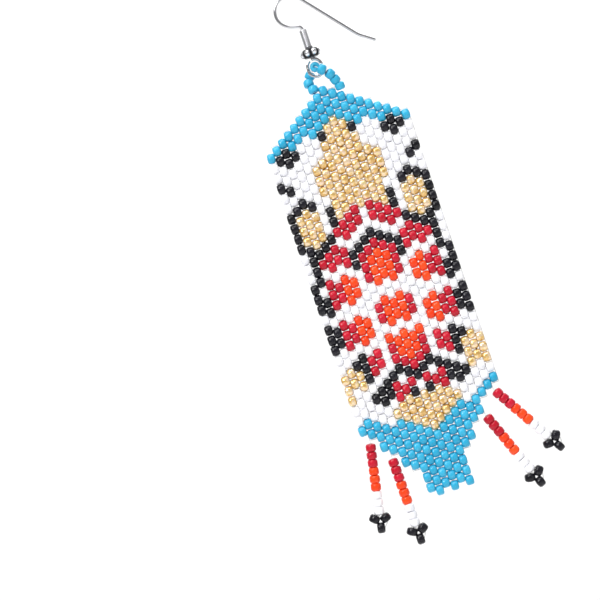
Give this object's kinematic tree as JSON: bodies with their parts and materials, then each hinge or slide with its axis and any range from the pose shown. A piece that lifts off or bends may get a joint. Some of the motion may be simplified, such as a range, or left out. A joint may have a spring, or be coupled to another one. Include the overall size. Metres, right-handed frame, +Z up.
{
  "type": "beaded earring",
  "caption": "Bead-woven hanging earring with a sea turtle motif, corner fringes ending in picots, a bead loop, a daisy spacer and a French ear wire.",
  "frame": {"origin": "centre line of the ear wire's straight back leg, where the arch ends: the ear hangs here", "axes": "+Z up as worn, the panel faces -Y, +X to the panel's right as seen from the front"},
  "size_m": [0.0412, 0.0051, 0.1113],
  "materials": {
    "silver_wire": "polished silver wire",
    "oxidised_silver": "polished high spots, dark oxidised grooves",
    "turquoise_bead": "opaque glass seed bead, soft gloss",
    "white_bead": "opaque white glass, soft gloss",
    "black_bead": "opaque black glass, gloss",
    "gold_bead": "honey glass with a rainbow lustre coat",
    "red_bead": "opaque dark red glass",
    "orange_bead": "opaque orange-red glass",
    "thread": "white nylon beading thread"
  },
  "bodies": {
    "ear_wire": {"ear_wire": "silver_wire"},
    "coil": {"coil": "silver_wire"},
    "spacer": {"spacer": "oxidised_silver"},
    "loop": {"loop_beads": "turquoise_bead", "loop_thread": "thread"},
    "panel_1": {"panel1_turquoise": "turquoise_bead", "panel1_black": "black_bead", "panel1_white": "white_bead", "panel1_gold": "gold_bead", "panel1_thread": "thread"},
    "panel_2": {"panel2_gold": "gold_bead", "panel2_white": "white_bead", "panel2_red": "red_bead", "panel2_black": "black_bead", "panel2_thread": "thread"},
    "panel_3": {"panel3_red": "red_bead", "panel3_orange": "orange_bead", "panel3_white": "white_bead", "panel3_black": "black_bead", "panel3_thread": "thread"},
    "panel_4": {"panel4_white": "white_bead", "panel4_orange": "orange_bead", "panel4_red": "red_bead", "panel4_black": "black_bead", "panel4_gold": "gold_bead", "panel4_thread": "thread"},
    "panel_5": {"panel5_turquoise": "turquoise_bead", "panel5_gold": "gold_bead", "panel5_white": "white_bead", "panel5_thread": "thread"},
    "fringe_1_upper": {"fringe1_red": "red_bead", "fringe1_thread_top": "thread"},
    "fringe_1_middle": {"fringe1_orange": "orange_bead", "fringe1_thread_mid": "thread"},
    "fringe_1_lower": {"fringe1_white": "white_bead", "fringe1_picot": "black_bead", "fringe1_thread_low": "thread"},
    "fringe_2_upper": {"fringe2_red": "red_bead", "fringe2_thread_top": "thread"},
    "fringe_2_middle": {"fringe2_orange": "orange_bead", "fringe2_thread_mid": "thread"},
    "fringe_2_lower": {"fringe2_white": "white_bead", "fringe2_picot": "black_bead", "fringe2_thread_low": "thread"},
    "fringe_3_upper": {"fringe3_red": "red_bead", "fringe3_thread_top": "thread"},
    "fringe_3_middle": {"fringe3_orange": "orange_bead", "fringe3_thread_mid": "thread"},
    "fringe_3_lower": {"fringe3_white": "white_bead", "fringe3_picot": "black_bead", "fringe3_thread_low": "thread"},
    "fringe_4_upper": {"fringe4_red": "red_bead", "fringe4_thread_top": "thread"},
    "fringe_4_middle": {"fringe4_orange": "orange_bead", "fringe4_thread_mid": "thread"},
    "fringe_4_lower": {"fringe4_white": "white_bead", "fringe4_picot": "black_bead", "fringe4_thread_low": "thread"}
  },
  "joints": [
    {"name": "coil_spin", "type": "hinge", "parent": "ear_wire", "child": "coil", "pos_m": [-0.00128, 0, -0.00809], "axis": [0, 0, 1], "continuous": true},
    {"name": "spacer_spin", "type": "hinge", "parent": "ear_wire", "child": "spacer", "pos_m": [-0.00128, 0, -0.01102], "axis": [0, 0, 1], "continuous": true},
    {"name": "loop_sway", "type": "hinge", "parent": "ear_wire", "child": "loop", "pos_m": [-0.00128, 0, -0.0139], "axis": [0, 1, 0], "range_deg": [-20, 20]},
    {"name": "bend_panel_nod", "type": "hinge", "parent": "loop", "child": "panel_1", "pos_m": [-0.00128, 0, -0.0203], "axis": [1, 0, 0], "range_deg": [-25, 25]},
    {"name": "bend_roll_1", "type": "hinge", "parent": "panel_1", "child": "panel_2", "pos_m": [-0.00128, 0, -0.03518], "axis": [1, 0, 0], "range_deg": [-25, 25]},
    {"name": "bend_roll_2", "type": "hinge", "parent": "panel_2", "child": "panel_3", "pos_m": [-0.00128, 0, -0.05093], "axis": [1, 0, 0], "range_deg": [-25, 25]},
    {"name": "bend_roll_3", "type": "hinge", "parent": "panel_3", "child": "panel_4", "pos_m": [-0.00128, 0, -0.06668], "axis": [1, 0, 0], "range_deg": [-25, 25]},
    {"name": "bend_roll_4", "type": "hinge", "parent": "panel_4", "child": "panel_5", "pos_m": [-0.00128, 0, -0.08243], "axis": [1, 0, 0], "range_deg": [-25, 25]},
    {"name": "fringe_1_swing", "type": "hinge", "parent": "panel_5", "child": "fringe_1_upper", "pos_m": [-0.01445, 0, -0.08742], "axis": [0.9816, 0, -0.1908], "range_deg": [-30, 30]},
    {"name": "fringe_1_splay", "type": "hinge", "parent": "fringe_1_upper", "child": "fringe_1_middle", "pos_m": [-0.01542, 0, -0.0924], "axis": [0, -1, 0], "range_deg": [-12, 12]},
    {"name": "fringe_1_knee", "type": "hinge", "parent": "fringe_1_middle", "child": "fringe_1_lower", "pos_m": [-0.01631, 0, -0.09699], "axis": [0.9816, 0, -0.1908], "range_deg": [-12, 12]},
    {"name": "fringe_2_swing", "type": "hinge", "parent": "panel_5", "child": "fringe_2_upper", "pos_m": [-0.01135, 0, -0.09162], "axis": [0.9998, 0, 0.0175], "range_deg": [-30, 30]},
    {"name": "fringe_2_splay", "type": "hinge", "parent": "fringe_2_upper", "child": "fringe_2_middle", "pos_m": [-0.01126, 0, -0.09669], "axis": [0, -1, 0], "range_deg": [-12, 7]},
    {"name": "fringe_2_knee", "type": "hinge", "parent": "fringe_2_middle", "child": "fringe_2_lower", "pos_m": [-0.01118, 0, -0.10137], "axis": [0.9998, 0, 0.0175], "range_deg": [-12, 12]},
    {"name": "fringe_3_swing", "type": "hinge", "parent": "panel_5", "child": "fringe_3_upper", "pos_m": [0.0088, 0, -0.08952], "axis": [0.9336, 0, 0.3584], "range_deg": [-30, 30]},
    {"name": "fringe_3_splay", "type": "hinge", "parent": "fringe_3_upper", "child": "fringe_3_middle", "pos_m": [0.01061, 0, -0.09425], "axis": [0, -1, 0], "range_deg": [-12, 12]},
    {"name": "fringe_3_knee", "type": "hinge", "parent": "fringe_3_middle", "child": "fringe_3_lower", "pos_m": [0.01229, 0, -0.09862], "axis": [0.9336, 0, 0.3584], "range_deg": [-12, 12]},
    {"name": "fringe_4_swing", "type": "hinge", "parent": "panel_5", "child": "fringe_4_upper", "pos_m": [0.0119, 0, -0.08532], "axis": [0.8572, 0, 0.515], "range_deg": [-30, 30]},
    {"name": "fringe_4_splay", "type": "hinge", "parent": "fringe_4_upper", "child": "fringe_4_middle", "pos_m": [0.01451, 0, -0.08966], "axis": [0, -1, 0], "range_deg": [-12, 12]},
    {"name": "fringe_4_knee", "type": "hinge", "parent": "fringe_4_middle", "child": "fringe_4_lower", "pos_m": [0.01692, 0, -0.09368], "axis": [0.8572, 0, 0.515], "range_deg": [-12, 12]}
  ],
  "couplings": [
    {"joint": "bend_roll_2", "follows": "bend_roll_1", "ratio": 1},
    {"joint": "bend_roll_3", "follows": "bend_roll_1", "ratio": 1},
    {"joint": "bend_roll_4", "follows": "bend_roll_1", "ratio": 1},
    {"joint": "fringe_1_knee", "follows": "fringe_1_swing", "ratio": 0.4},
    {"joint": "fringe_2_knee", "follows": "fringe_2_swing", "ratio": 0.4},
    {"joint": "fringe_3_knee", "follows": "fringe_3_swing", "ratio": 0.4},
    {"joint": "fringe_4_knee", "follows": "fringe_4_swing", "ratio": 0.4}
  ]
}
